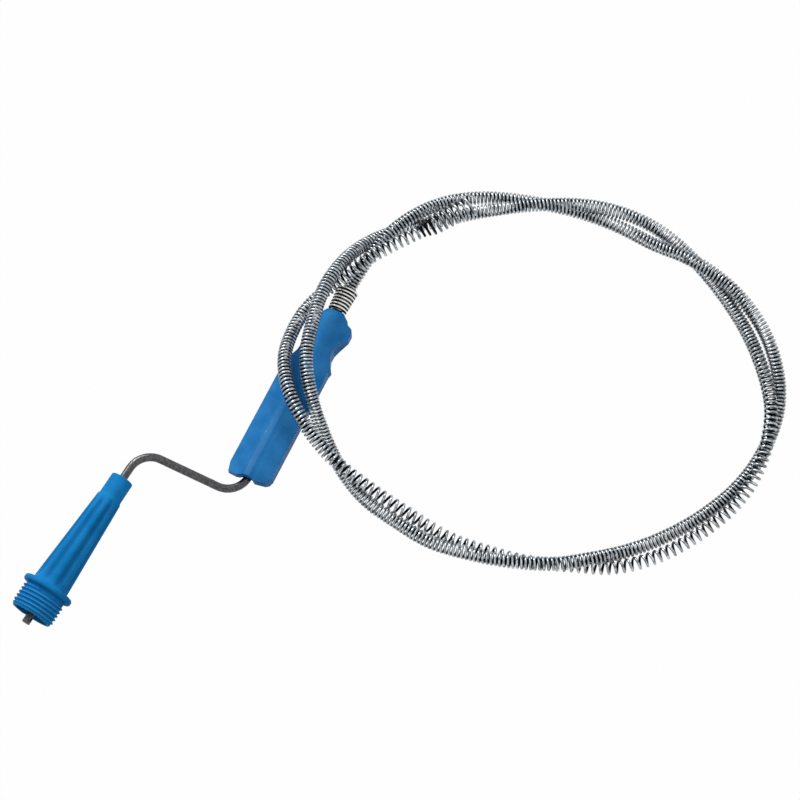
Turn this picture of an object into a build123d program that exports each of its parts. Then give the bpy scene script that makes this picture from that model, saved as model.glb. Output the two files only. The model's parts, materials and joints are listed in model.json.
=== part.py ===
from build123d import *

import math
import os

# Drain auger lying flat: a two-shell grip, a cranked rod that turns in it, a handle that turns on
# the rod's far end, and a wound cable that leaves the grip through a spring relief and lies in
# almost two rounds. Millimetres, +Z up, the floor at z = 0, and the grip's barrel line along Y.
# The origin is on the grip's flat rest face, under the barrel line.

os.makedirs("parts", exist_ok=True)

# Fits
running_gap = 0.05  # radial, shaft in bush
seat_gap = 0.1  # radial, a piece dropped into its pocket
face_gap = 0.2  # axial, between pieces that turn past each other

# Grip
grip_top = 57.0  # y of the end that the cable leaves
grip_length = 117.0
grip_height = 19.0  # up to the crease
half_left = 13.4
half_right = 13.9
nose_reach = 15.4  # how far the bump and the nose stand out on the right
lip_reach = 3.3  # how far the lower end's lip stands out past the mouth
eaves_left = 14.0  # height of the left side wall
eaves_right = 14.5
rest_chamfer = 4.0
barrel_height = 9.5
shell_wall = 2.2
peg_radius = 1.4
peg_length = 3.0
grip_bottom = grip_top - grip_length

# Rod, and what runs on it inside the grip
rod_diameter = 5.0
rod_seat = 22.0  # length of rod held in the sleeve
mouth_radius = 4.0
mouth_depth = 3.0
lower_bush_length = 14.0
lower_bush_radius = 6.0
collar_radius = 6.0
collar_length = 7.6
washer_radius = 6.6
washer_thickness = 1.0
pin_diameter = 2.0
web_length = 5.0
sleeve_radius = 5.0
sleeve_length = 48.0
sleeve_bay = 42.0  # open length of the shells between the web and the upper bush
upper_bush_length = 13.0
upper_bush_wall = 1.4
screw_radius = 1.5
screw_inset = 3.5  # from the sleeve's end
screw_pitch = 6.0
screw_socket = 1.5  # across flats

# Crank
arm_offset = 13.4  # from the grip's end to the first bend's corner
arm_reach = 64.0
arm_slant = 1.1  # the far corner lies this much further out
bend_radius = 14.0
handle_skew = 5.0  # degrees between the handle's line and the barrel line

# Handle, by distance along its own line from the crank's far corner
handle_start = 20.6
handle_length = 96.5
neck_length = 14.0
neck_diameter = 14.0
taper_diameter = 22.5
flange_diameter = 31.5
flange_thickness = 4.0
collar_run = 15.6  # flange to the handle's end, the threaded part
thread_root = 25.2
thread_crest = 27.4
thread_pitch = 2.4
thread_ridges = 6
flute_count = 8
flute_depth = 0.9
handle_wall = 2.0
hub_radius = 4.4
hub_recess = 4.0  # the hub ends this far inside the handle's open end
hollow_start = 30.0  # from the handle's start
stub_length = 5.5
washer_run = 1.0  # thickness of the end washer
ring_radius = 5.4
ring_thickness = 1.0
ring_groove = 0.3  # depth of the ring's groove in the rod
ring_slots = 3
ring_slot_length = 1.6
ring_slot_width = 0.8

# Cable, its relief and its tip
cable_diameter = 8.5
cable_gap = 0.15
relief_wire = 1.5
relief_pitch = 2.2
relief_turns = 8
relief_flare = 3.6  # degrees, the relief opens away from the grip
tip_radius = 7.2
tip_length = 41.0
tip_flare = 12.0
socket_gap = 0.3  # between the sleeve's end and the cable

# The cable's line: out of the relief, round the loop once, over the grip, round again, and over
# the grip a second time to the tip. It rises where it crosses another strand.
cable_points = [
    (0, 52, 9.5), (0, 82, 9.5), (6, 112, 13.5), (15, 137, 14), (29, 158, 9), (50, 173, 4.5),
    (78, 180, 4.5), (105, 184, 4.5), (133, 187, 4.5), (158, 187, 7), (179, 187, 14), (202, 184, 14),
    (226, 175, 8), (249, 155, 4.5), (267, 127, 4.5), (271, 97, 4.5), (264, 67, 4.5), (252, 39, 4.5),
    (237, 16, 4.5), (220, -2, 5), (203, -15, 9), (183, -27, 14), (160, -40, 14), (137, -48, 8),
    (113, -50, 4.5), (89, -49, 4.5), (67, -44, 4.5), (47, -32, 6), (30, -15, 15), (16, 0, 25),
    (5, 18, 32), (-2, 40, 32), (-9, 61, 30), (-14, 81, 25), (-10, 102, 13), (4, 123, 4.5),
    (28, 142, 4.5), (50, 160, 7), (68, 173, 14), (87, 186, 14), (110, 196, 8), (135, 199, 4.5),
    (161, 197, 4.5), (187, 187, 4.5), (211, 172, 4.5), (235, 154, 4.5), (254, 131, 7), (266, 109, 14),
    (273, 80, 14), (271, 53, 8), (259, 27, 4.5), (241, 4, 4.5), (220, -16, 4.5), (197, -29, 4.5),
    (170, -34, 4.5), (147, -37, 4.5), (124, -39, 4.5), (101, -39, 4.5), (80, -36, 7), (62, -32, 13),
    (44, -29, 18), (24, -22, 26), (6, -9, 32), (-10, 8, 28), (-19, 26, 20), (-18, 52, 15.5),
    (-6, 76, 21.5), (4, 93, 24.5), (14, 109, 25), (23, 124, 24),
]  # fmt: skip

# What follows from the sizes above
rod_radius = rod_diameter / 2
cable_radius = cable_diameter / 2
lower_bush_start = grip_bottom + mouth_depth
chamber_start = lower_bush_start + lower_bush_length
lower_washer_start = chamber_start
collar_start = lower_washer_start + washer_thickness + face_gap
upper_washer_start = collar_start + collar_length + face_gap
chamber_end = upper_washer_start + washer_thickness
bay_start = chamber_end + web_length
bay_end = bay_start + sleeve_bay
upper_bush_radius = sleeve_radius + running_gap + upper_bush_wall
cable_start = cable_points[0][1]
sleeve_end = cable_start - socket_gap
sleeve_start = sleeve_end - sleeve_length
rod_inner_end = sleeve_start + rod_seat
washer_bore = rod_radius + running_gap
relief_radius = cable_radius + cable_gap + relief_wire / 2

handle_end = handle_start + handle_length
flange_end = handle_end - collar_run
flange_start = flange_end - flange_thickness
neck_end = handle_start + neck_length
hub_end = handle_end - hub_recess
washer_start = hub_end + face_gap
ring_start = washer_start + washer_run
groove_radius = rod_radius - ring_groove
flange_middle = (flange_start + flange_end) / 2
flange_reach = arm_reach + flange_middle * math.sin(math.radians(handle_skew))
# The crank lies down until its flange touches the floor, which tilts its plane a little.
floor_clear = 0.05
crank_tilt = math.asin((flange_diameter / 2 + floor_clear - barrel_height) / flange_reach)


def barrel_plane(y):
    """The plane across the barrel line at y, facing along +Y."""
    return Plane(origin=(0, y, barrel_height), x_dir=(1, 0, 0), z_dir=(0, 1, 0))


def barrel_ring(start, length, outer, inner):
    """A ring on the barrel line, added to the part being built."""
    with BuildSketch(barrel_plane(start)) as ring:
        Circle(outer)
        Circle(inner, mode=Mode.SUBTRACT)
    extrude(ring.sketch, amount=length)


def grip_section(right):
    """Corners of the grip's cross-section in x and z, a roof over a flat rest face."""
    slope = (grip_height - eaves_right) / half_right
    return [
        (rest_chamfer - half_left, 0),
        (half_right - rest_chamfer, 0),
        (right, right - half_right + rest_chamfer),
        (right, grip_height - slope * right),
        (0, grip_height),
        (-half_left, eaves_left),
        (-half_left, rest_chamfer),
    ]


# The crank's own plane: x along the arm, y along the barrel line towards the handle.
arm_direction = Vector(-math.cos(crank_tilt), 0, math.sin(crank_tilt))
crank_up = Vector(math.sin(crank_tilt), 0, math.cos(crank_tilt))
crank_plane = Plane(origin=(0, 0, barrel_height), x_dir=arm_direction, z_dir=crank_up)
arm_line = arm_offset - grip_bottom
first_corner = (0, arm_line)
far_corner = (arm_reach, arm_line + arm_slant)
skew = math.radians(handle_skew)
rod_end = handle_end + stub_length
rod_tip = (
    far_corner[0] + rod_end * math.sin(skew),
    far_corner[1] + rod_end * math.cos(skew),
)

# The handle's plane: y along the handle's line from the far corner, x square to it.
far_corner_place = crank_plane.from_local_coords(Vector(*far_corner))
handle_direction = arm_direction * math.sin(skew) + Vector(0, -1, 0) * math.cos(skew)
handle_plane = Plane(
    origin=far_corner_place, x_dir=handle_direction.cross(crank_up), z_dir=crank_up
)
handle_axis = Axis(far_corner_place, handle_direction)


def handle_cross_plane(distance):
    """The plane across the handle's line, facing the handle's open end."""
    return Plane(
        origin=far_corner_place + handle_direction * distance,
        x_dir=crank_up,
        z_dir=handle_direction,
    )


def handle_ring(start, length, outer, inner, mode=Mode.ADD):
    """A ring on the handle's line, added to or cut from the part being built."""
    with BuildSketch(handle_cross_plane(start)) as ring:
        Circle(outer)
        Circle(inner, mode=Mode.SUBTRACT)
    extrude(ring.sketch, amount=length, mode=mode)


# --- Grip shells ---

# The outer form, cut out of the outline seen from above and the roof-shaped section.
with BuildPart() as grip_form:
    with BuildSketch() as outline:
        with BuildLine():
            Polyline(
                (-half_left, grip_bottom + 3),
                (-half_left, grip_top - 42.7),
                (-9.2, grip_top - 33),
                (-6.6, grip_top - 4.2),
                (-5, grip_top - 1.2),
                (-2.2, grip_top),
                (5.6, grip_top),
                (10.2, grip_top - 3.8),
                (11, grip_top - 5.6),
                (nose_reach - 1, grip_top - 7),
                (nose_reach, grip_top - 9),
                (nose_reach, grip_top - 13.5),
                (12.1, grip_top - 19.4),
                (10.4, grip_top - 23.4),
                (10.4, grip_top - 27.4),
                (12.6, grip_top - 33),
                (nose_reach - 0.6, grip_top - 36),
                (half_right, grip_top - 38.4),
                (half_right, grip_bottom + 4),
                (11.5, grip_bottom - 0.8),
                (5.5, grip_bottom - lip_reach + 0.4),
                (4, grip_bottom - 1.8),
                (-2, grip_bottom - 1.8),
                (-6, grip_bottom - lip_reach - 0.5),
                (-11.7, grip_bottom - lip_reach),
                close=True,
            )
        make_face()
        fillet(outline.vertices(), 0.5)
    extrude(amount=grip_height)
    with BuildSketch(Plane.XZ.offset(-grip_top - 1)):
        with BuildLine():
            Polyline(*grip_section(nose_reach), close=True)
        make_face()
    extrude(amount=grip_length + 8, mode=Mode.INTERSECT)
    # Seen from the side, the lower end leans in under its lip and the head is rounded off.
    with BuildSketch(Plane.YZ.offset(-nose_reach - 1)):
        with BuildLine():
            Polyline(
                (grip_bottom + 3.5, 0),
                (grip_top - 2, 0),
                (grip_top, 2),
                (grip_top, barrel_height + 5.6),
                (grip_top - 1.6, barrel_height + 7.1),
                (grip_top - 6, barrel_height + 8.5),
                (grip_top - 14, grip_height),
                (grip_bottom - lip_reach - 0.5, grip_height),
                (grip_bottom - lip_reach - 0.5, barrel_height + 2),
                close=True,
            )
        make_face()
    extrude(amount=2 * nose_reach + 2, mode=Mode.INTERSECT)

# Everything hollow in the grip: the stepped bore along the barrel line, and the open bay.
with BuildPart() as grip_hollow:
    with BuildSketch(Plane.XY.offset(barrel_height)):
        with BuildLine():
            Polyline(
                (0, grip_bottom - 6),
                (mouth_radius, grip_bottom - 6),
                (mouth_radius, lower_bush_start),
                (lower_bush_radius, lower_bush_start),
                (lower_bush_radius, chamber_start),
                (washer_radius + seat_gap, chamber_start),
                (washer_radius + seat_gap, chamber_end),
                (rod_radius + 1, chamber_end),
                (rod_radius + 1, bay_start),
                (sleeve_radius + 0.5, bay_start),
                (sleeve_radius + 0.5, bay_end),
                (upper_bush_radius, bay_end),
                (upper_bush_radius, bay_end + upper_bush_length),
                (sleeve_radius + 0.3, bay_end + upper_bush_length),
                (sleeve_radius + 0.3, cable_start),
                (cable_radius + cable_gap, cable_start),
                (cable_radius + cable_gap, grip_top + 1),
                (0, grip_top + 1),
                close=True,
            )
        make_face()
    revolve(axis=Axis((0, 0, barrel_height), (0, 1, 0)))
    with BuildSketch(Plane.XZ.offset(-bay_end)):
        with BuildLine():
            Polyline(*grip_section(half_right), close=True)
        make_face()
        offset(amount=-shell_wall, kind=Kind.INTERSECTION)
    extrude(amount=sleeve_bay)

# Pegs beside the bushes and the web, on both sides where the grip is wide enough.
peg_offset = (lower_bush_radius + half_left) / 2
peg_places = [
    (-peg_offset, lower_bush_start + lower_bush_length / 2),
    (peg_offset, lower_bush_start + lower_bush_length / 2),
    (-peg_offset, bay_start - web_length / 2),
    (peg_offset, bay_start - web_length / 2),
    (peg_offset, bay_end + upper_bush_length / 2),
    (peg_offset, grip_top - 11),
]

with BuildPart() as grip_upper_shell:
    add(grip_form.part)
    split(bisect_by=Plane.XY.offset(barrel_height), keep=Keep.TOP)
    add(grip_hollow.part, mode=Mode.SUBTRACT)
    with BuildSketch(Plane.XY.offset(barrel_height)):
        with Locations(*peg_places):
            Circle(peg_radius)
    extrude(amount=-peg_length)
grip_upper_shell.part.label = "grip_upper_shell"
export_step(grip_upper_shell.part, "parts/grip_upper_shell.step")

with BuildPart() as grip_lower_shell:
    add(grip_form.part)
    split(bisect_by=Plane.XY.offset(barrel_height), keep=Keep.BOTTOM)
    add(grip_hollow.part, mode=Mode.SUBTRACT)
    with BuildSketch(Plane.XY.offset(barrel_height)):
        with Locations(*peg_places):
            Circle(peg_radius + seat_gap)
    extrude(amount=-peg_length - 0.3, mode=Mode.SUBTRACT)
grip_lower_shell.part.label = "grip_lower_shell"
export_step(grip_lower_shell.part, "parts/grip_lower_shell.step")

# --- Bushes and washers in the grip ---

with BuildPart() as lower_bush:
    barrel_ring(lower_bush_start, lower_bush_length, lower_bush_radius, washer_bore)
lower_bush.part.label = "lower_bush"
export_step(lower_bush.part, "parts/lower_bush.step")

with BuildPart() as upper_bush:
    barrel_ring(bay_end, upper_bush_length, upper_bush_radius, sleeve_radius + running_gap)
upper_bush.part.label = "upper_bush"
export_step(upper_bush.part, "parts/upper_bush.step")

with BuildPart() as lower_thrust_washer:
    barrel_ring(lower_washer_start, washer_thickness, washer_radius, washer_bore)
lower_thrust_washer.part.label = "lower_thrust_washer"
export_step(lower_thrust_washer.part, "parts/lower_thrust_washer.step")

with BuildPart() as upper_thrust_washer:
    barrel_ring(upper_washer_start, washer_thickness, washer_radius, washer_bore)
upper_thrust_washer.part.label = "upper_thrust_washer"
export_step(upper_thrust_washer.part, "parts/upper_thrust_washer.step")

# --- Crank ---

# The cross pin goes through the collar and the rod, level with the floor.
pin_place = collar_start + collar_length / 2
pin_plane = Plane(origin=(0, pin_place, barrel_height), z_dir=(1, 0, 0))

with BuildPart() as crank_rod:
    with BuildLine(crank_plane) as rod_line:
        FilletPolyline((0, -rod_inner_end), first_corner, far_corner, rod_tip, radius=bend_radius)
    with BuildSketch(Plane(origin=rod_line.line @ 0, z_dir=rod_line.line % 0)):
        Circle(rod_radius)
    sweep(path=rod_line.line)
    chamfer(crank_rod.faces().filter_by(GeomType.PLANE).edges(), 0.4)
    with BuildSketch(pin_plane):
        Circle(pin_diameter / 2)
    extrude(amount=collar_radius, both=True, mode=Mode.SUBTRACT)
    handle_ring(ring_start, ring_thickness, rod_diameter, groove_radius, mode=Mode.SUBTRACT)
crank_rod.part.label = "crank_rod"
export_step(crank_rod.part, "parts/crank_rod.step")

with BuildPart() as thrust_collar:
    barrel_ring(collar_start, collar_length, collar_radius, rod_radius)
    with BuildSketch(pin_plane):
        Circle(pin_diameter / 2)
    extrude(amount=collar_radius, both=True, mode=Mode.SUBTRACT)
thrust_collar.part.label = "thrust_collar"
export_step(thrust_collar.part, "parts/thrust_collar.step")

with BuildPart() as collar_pin:
    with BuildSketch(pin_plane):
        Circle(pin_diameter / 2)
    extrude(amount=collar_radius - 0.2, both=True)
collar_pin.part.label = "collar_pin"
export_step(collar_pin.part, "parts/collar_pin.step")

# Grub screws bear on the rod from above, through the sleeve's wall, in the open bay.
screw_places = [sleeve_start + screw_inset, sleeve_start + screw_inset + screw_pitch]

with BuildPart() as coupling_sleeve:
    barrel_ring(sleeve_start, rod_seat, sleeve_radius, rod_radius)
    with BuildSketch(barrel_plane(sleeve_start + rod_seat)):
        Circle(sleeve_radius)
    extrude(amount=sleeve_length - rod_seat)
    with BuildSketch(Plane.XY.offset(barrel_height)):
        with Locations(*[(0, place) for place in screw_places]):
            Circle(screw_radius)
    extrude(amount=sleeve_radius, mode=Mode.SUBTRACT)
coupling_sleeve.part.label = "coupling_sleeve"
export_step(coupling_sleeve.part, "parts/coupling_sleeve.step")

for number, place in enumerate(screw_places, start=1):
    with BuildPart() as sleeve_screw:
        with BuildSketch(Plane.XY.offset(barrel_height + rod_radius + 0.02)):
            with Locations((0, place)):
                Circle(screw_radius)
        extrude(amount=sleeve_radius - rod_radius - 0.3)
        with BuildSketch(Plane(sleeve_screw.faces().sort_by(Axis.Z)[-1])):
            RegularPolygon(screw_socket / 2, 6, major_radius=False)
        extrude(amount=-1.2, mode=Mode.SUBTRACT)
    sleeve_screw.part.label = f"sleeve_screw_{number}"
    export_step(sleeve_screw.part, f"parts/sleeve_screw_{number}.step")

# --- Handle ---


def flute_corners(radius):
    """Corners of the fluted section: each rib is a flat with a shallow valley beside it."""
    step = 360 / flute_count
    corners = []
    for flute in range(flute_count):
        for share, reach in ((-0.22, radius), (0.22, radius), (0.34, -1), (0.66, -1)):
            length = radius - flute_depth if reach < 0 else radius
            angle = math.radians(step * (flute + share))
            corners.append((length * math.cos(angle), length * math.sin(angle)))
    return corners


# Thread ridges as rings, each a blunt tooth one pitch from the next.
thread_profile = []
for ridge in range(thread_ridges):
    tooth = flange_end + thread_pitch * (ridge + 0.35)
    thread_profile += [
        (thread_root / 2, tooth),
        (thread_crest / 2, tooth + 0.25 * thread_pitch),
        (thread_crest / 2, tooth + 0.45 * thread_pitch),
        (thread_root / 2, tooth + 0.7 * thread_pitch),
    ]

with BuildPart() as crank_handle:
    # neck
    with BuildSketch(handle_plane):
        with BuildLine():
            Polyline(
                (0, handle_start),
                (neck_diameter / 2 - 0.8, handle_start),
                (neck_diameter / 2, handle_start + 0.8),
                (neck_diameter / 2, neck_end),
                (0, neck_end),
                close=True,
            )
        make_face()
    revolve(axis=handle_axis)
    # fluted taper
    with BuildSketch(handle_cross_plane(neck_end)):
        Polygon(*flute_corners(neck_diameter / 2 + 0.2), align=None)
    with BuildSketch(handle_cross_plane(flange_start)):
        Polygon(*flute_corners(taper_diameter / 2), align=None)
    loft(ruled=True)
    # flange and threaded collar
    with BuildSketch(handle_plane):
        with BuildLine():
            Polyline(
                (0, flange_start),
                (flange_diameter / 2 - 1.4, flange_start),
                (flange_diameter / 2, flange_start + 1.4),
                (flange_diameter / 2, flange_end - 1.4),
                (flange_diameter / 2 - 1.4, flange_end),
                (thread_root / 2, flange_end),
                *thread_profile,
                (thread_root / 2, handle_end),
                (0, handle_end),
                close=True,
            )
        make_face()
    revolve(axis=handle_axis)
    # hollow round the hub, open at the end, and the bore for the rod
    with BuildSketch(handle_plane):
        with BuildLine():
            Polyline(
                (0, handle_start - 1),
                (rod_radius + running_gap, handle_start - 1),
                (rod_radius + running_gap, hub_end),
                (hub_radius, hub_end),
                (hub_radius, handle_start + hollow_start),
                (hub_radius + 0.6, handle_start + hollow_start),
                (taper_diameter / 2 - flute_depth - handle_wall, flange_start),
                (thread_root / 2 - handle_wall, flange_end),
                (thread_root / 2 - handle_wall, handle_end + 1),
                (0, handle_end + 1),
                close=True,
            )
        make_face()
    revolve(axis=handle_axis, mode=Mode.SUBTRACT)
crank_handle.part.label = "crank_handle"
export_step(crank_handle.part, "parts/crank_handle.step")

# A flat washer and a toothed ring in the rod's groove hold the handle on the rod.
with BuildPart() as end_washer:
    handle_ring(washer_start, washer_run, hub_radius, rod_radius)
end_washer.part.label = "end_washer"
export_step(end_washer.part, "parts/end_washer.step")

with BuildPart() as retaining_ring:
    handle_ring(ring_start, ring_thickness, ring_radius, groove_radius)
    with BuildSketch(handle_cross_plane(ring_start)):
        with PolarLocations(groove_radius, ring_slots):
            Rectangle(ring_slot_length * 2, ring_slot_width)
    extrude(amount=ring_thickness, mode=Mode.SUBTRACT)
retaining_ring.part.label = "retaining_ring"
export_step(retaining_ring.part, "parts/retaining_ring.step")

# --- Cable ---

with BuildPart() as relief_spring:
    with BuildLine() as relief_line:
        Helix(
            relief_pitch,
            relief_pitch * relief_turns,
            relief_radius,
            center=(0, grip_top + relief_wire / 2, barrel_height),
            direction=(0, 1, 0),
            cone_angle=relief_flare,
        )
    with BuildSketch(Plane(origin=relief_line.line @ 0, z_dir=relief_line.line % 0)):
        Circle(relief_wire / 2)
    sweep(path=relief_line.line, is_frenet=True)
relief_spring.part.label = "relief_spring"
export_step(relief_spring.part, "parts/relief_spring.step")


def bend_radii(points):
    """The largest arc that each corner's two runs allow, leaving a tenth of the run straight."""
    radii = []
    places = [Vector(*point) for point in points]
    for before, corner, after in zip(places, places[1:], places[2:]):
        arriving = corner - before
        leaving = after - corner
        half_turn = math.radians(arriving.get_angle(leaving)) / 2
        radii.append(0.45 * min(arriving.length, leaving.length) / math.tan(half_turn))
    return radii


cable_radii = bend_radii(cable_points)
with BuildPart() as cable:
    with BuildLine() as cable_line:
        FilletPolyline(*cable_points, radius=cable_radii)
    with BuildSketch(Plane(origin=cable_line.line @ 0, z_dir=cable_line.line % 0)):
        Circle(cable_radius)
    sweep(path=cable_line.line)
cable.part.label = "cable"
export_step(cable.part, "parts/cable.step")
print("cable bend radii", [round(radius) for radius in cable_radii])
cable_length = sum(edge.length for edge in cable_line.edges())
print("cable length", round(cable_length, 1))
section_volume = math.pi * cable_radius**2 * cable_length
print("cable volume", round(cable.part.volume), "section times length", round(section_volume))

# The tip's coil as its outer shape, on from the cable's end.
tip_start = cable_line.line @ 1
tip_direction = cable_line.line % 1
tip_side = Vector(0, 0, 1).cross(tip_direction).normalized()
tip_plane = Plane(origin=tip_start, x_dir=tip_side, z_dir=tip_side.cross(tip_direction))
with BuildPart() as auger_tip:
    with BuildSketch(tip_plane):
        with BuildLine():
            Polyline(
                (0, 0),
                (cable_radius, 0),
                (tip_radius, tip_flare),
                (tip_radius, tip_length),
                (0, tip_length),
                close=True,
            )
        make_face()
    revolve(axis=Axis(tip_start, tip_direction))
auger_tip.part.label = "auger_tip"
export_step(auger_tip.part, "parts/auger_tip.step")
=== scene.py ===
# %% [markdown]
# # A hand-cranked drain auger
#
# A drain auger is a long wire coil that is pushed down a blocked pipe and turned by hand. Three
# things make it up: the coil with its wider corkscrew tip, a two-part plastic grip that one hand
# holds still, and a bent steel crank whose plastic handle the other hand turns. The exact solids
# come from the CAD frame, and each visible part lies where its solid is. This file gives them the
# surfaces that the eye expects: wound wire, moulded plastic, rolled steel.
#
# Everything is in metres, in the frame's own axes: X to the right, Y along the grip towards the
# cable, Z up from the floor.

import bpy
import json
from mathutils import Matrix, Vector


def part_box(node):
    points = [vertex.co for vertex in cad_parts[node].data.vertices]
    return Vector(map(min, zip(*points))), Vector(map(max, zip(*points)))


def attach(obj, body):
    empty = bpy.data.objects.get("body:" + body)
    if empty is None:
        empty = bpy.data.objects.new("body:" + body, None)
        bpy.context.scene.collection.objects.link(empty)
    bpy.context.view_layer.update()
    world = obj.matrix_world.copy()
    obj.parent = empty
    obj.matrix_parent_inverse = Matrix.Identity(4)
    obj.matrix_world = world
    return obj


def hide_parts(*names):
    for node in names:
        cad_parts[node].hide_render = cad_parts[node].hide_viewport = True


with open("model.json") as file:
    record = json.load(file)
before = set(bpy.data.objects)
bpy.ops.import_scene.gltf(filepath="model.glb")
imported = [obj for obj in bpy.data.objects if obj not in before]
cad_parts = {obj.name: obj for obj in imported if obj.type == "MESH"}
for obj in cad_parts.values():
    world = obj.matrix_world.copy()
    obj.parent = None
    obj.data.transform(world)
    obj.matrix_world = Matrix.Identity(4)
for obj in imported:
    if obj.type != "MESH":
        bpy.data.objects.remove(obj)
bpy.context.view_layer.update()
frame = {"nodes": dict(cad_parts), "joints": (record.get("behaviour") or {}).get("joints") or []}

# %% The modules and the unit
import json
import math

import bmesh
import bpy
from mathutils import Matrix, Vector, noise

MM = 0.001
BARREL = 9.5 * MM  # height of the line that the cable and the rod turn on

# %% [markdown]
# ## The studio
#
# A tool for a catalogue is laid on a sheet of white paper under big soft lamps. The floor here is
# one large plane. Its material is a plain white diffuse for the light that falls on the tool, but
# the camera, mirrors and glass see it mixed with a glow of strength 1, which is white. So the
# paper looks white without any extra light on the object, and a faint shadow is kept.
# The world does the same: a third of full strength as a lamp, but white to the eye.

# %% A helper that adds a node and sets it up in one line
def add_node(tree, kind, **settings):
    """A new node of that kind in a tree. Settings are the node's own properties."""
    node = tree.nodes.new(kind)
    for name, value in settings.items():
        setattr(node, name, value)
    return node


def seen_directly(tree):
    """A value that is 1 for the camera, for reflections and for light through glass."""
    path = add_node(tree, "ShaderNodeLightPath")
    either = add_node(tree, "ShaderNodeMath", operation="MAXIMUM")
    any_of = add_node(tree, "ShaderNodeMath", operation="MAXIMUM")
    tree.links.new(path.outputs["Is Camera Ray"], either.inputs[0])
    tree.links.new(path.outputs["Is Glossy Ray"], either.inputs[1])
    tree.links.new(either.outputs[0], any_of.inputs[0])
    tree.links.new(path.outputs["Is Transmission Ray"], any_of.inputs[1])
    return any_of.outputs[0]


# %% The floor
PAPER_GLOW = 0.985  # how much of what the eye sees is glow, the rest is lit paper
PAPER_TONE = 0.35  # how much light the paper throws back onto the tool
FLOOR_GAP = 0.2 * MM  # keeps the floor just clear of faces that rest on it

paper = bpy.data.materials.new("white_paper")
paper.use_nodes = True
paper.node_tree.nodes.clear()
lit_paper = add_node(paper.node_tree, "ShaderNodeBsdfDiffuse")
lit_paper.inputs["Color"].default_value = (PAPER_TONE, PAPER_TONE, PAPER_TONE, 1)
glow = add_node(paper.node_tree, "ShaderNodeEmission")
glow.inputs["Strength"].default_value = 1
share = add_node(paper.node_tree, "ShaderNodeMath", operation="MULTIPLY")
share.inputs[1].default_value = PAPER_GLOW
paper_mix = add_node(paper.node_tree, "ShaderNodeMixShader")
paper_out = add_node(paper.node_tree, "ShaderNodeOutputMaterial")
paper.node_tree.links.new(seen_directly(paper.node_tree), share.inputs[0])
paper.node_tree.links.new(share.outputs[0], paper_mix.inputs[0])
paper.node_tree.links.new(lit_paper.outputs[0], paper_mix.inputs[1])
paper.node_tree.links.new(glow.outputs[0], paper_mix.inputs[2])
paper.node_tree.links.new(paper_mix.outputs[0], paper_out.inputs["Surface"])


def new_object(name, mesh):
    """Links a mesh into the scene as an object at the origin."""
    piece = bpy.data.objects.new(name, mesh)
    bpy.context.scene.collection.objects.link(piece)
    return piece


def mesh_from(work, name):
    """Turns a finished bmesh into a mesh and frees the bmesh."""
    mesh = bpy.data.meshes.new(name)
    work.to_mesh(mesh)
    work.free()
    return mesh


sheet = bmesh.new()
bmesh.ops.create_grid(sheet, x_segments=2, y_segments=2, size=4)
bmesh.ops.translate(sheet, verts=sheet.verts, vec=(0, 0, -FLOOR_GAP))
floor = new_object("floor", mesh_from(sheet, "floor"))
floor.data.materials.append(paper)
print("floor:", [round(side, 1) for side in floor.dimensions], "m")

# %% The world and the lamps
WORLD_LIGHT = 0.36  # the world as a lamp, while to the eye it is white

world = bpy.data.worlds.new("white_studio")
bpy.context.scene.world = world
world.use_nodes = True
background = world.node_tree.nodes["Background"]
background.inputs["Color"].default_value = (1, 1, 1, 1)
level = add_node(world.node_tree, "ShaderNodeMapRange")
level.inputs["To Min"].default_value = WORLD_LIGHT
level.inputs["To Max"].default_value = 1
world.node_tree.links.new(seen_directly(world.node_tree), level.inputs["Value"])
world.node_tree.links.new(level.outputs[0], background.inputs["Strength"])


def soft_lamp(name, place, aim, size, watts):
    """A square lamp at a place, turned towards a point."""
    lamp = bpy.data.lights.new(name, "AREA")
    lamp.shape = "SQUARE"
    lamp.size = size
    lamp.energy = watts
    holder = bpy.data.objects.new(name, lamp)
    holder.location = place
    holder.rotation_euler = (Vector(aim) - Vector(place)).to_track_quat("-Z", "Y").to_euler()
    bpy.context.scene.collection.objects.link(holder)
    return holder


MIDDLE = Vector((0.09, 0.02, 0))
window = soft_lamp("window_left", (-1.2, 0.75, 1.0), MIDDLE, 0.7, 22)
fill = soft_lamp("window_right", (1.0, 0.7, 1.3), MIDDLE, 0.9, 8)
fill.visible_glossy = False  # it only softens shadows, and draws no second line on round edges
print("lamps:", window.name, "and", fill.name)

# %% [markdown]
# ## The camera
#
# The tool is seen from high above its near side, 70 degrees over the floor, with a long lens
# that keeps the loop of cable almost free of perspective.

# %% The camera
eye = Vector((0.2397, -0.3498, 1.1464))
target = Vector((0.0587, 0.0262, 0))
lens = bpy.data.cameras.new("camera")
lens.lens = 90
lens.sensor_width = 36
camera = bpy.data.objects.new("camera", lens)
camera.location = eye
camera.rotation_euler = (target - eye).to_track_quat("-Z", "Y").to_euler()
bpy.context.scene.collection.objects.link(camera)
bpy.context.scene.camera = camera
bpy.context.scene.view_settings.view_transform = "Standard"
print("camera distance:", round((target - eye).length, 3), "m")

# %% [markdown]
# ## The line of the cable
#
# The cable lies in a loop of two rounds and ends on top of itself. Its line is one smooth NURBS
# spline. Its control points are the route of the CAD tube, some of them moved by a few millimetres
# so that the rounds lie as loosely as a real coil's do. Where two rounds cross, a few points of
# the upper one are lifted. The places are read back from the spline's own mesh, so everything on
# the cable follows exactly the curve that Blender draws.

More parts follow.
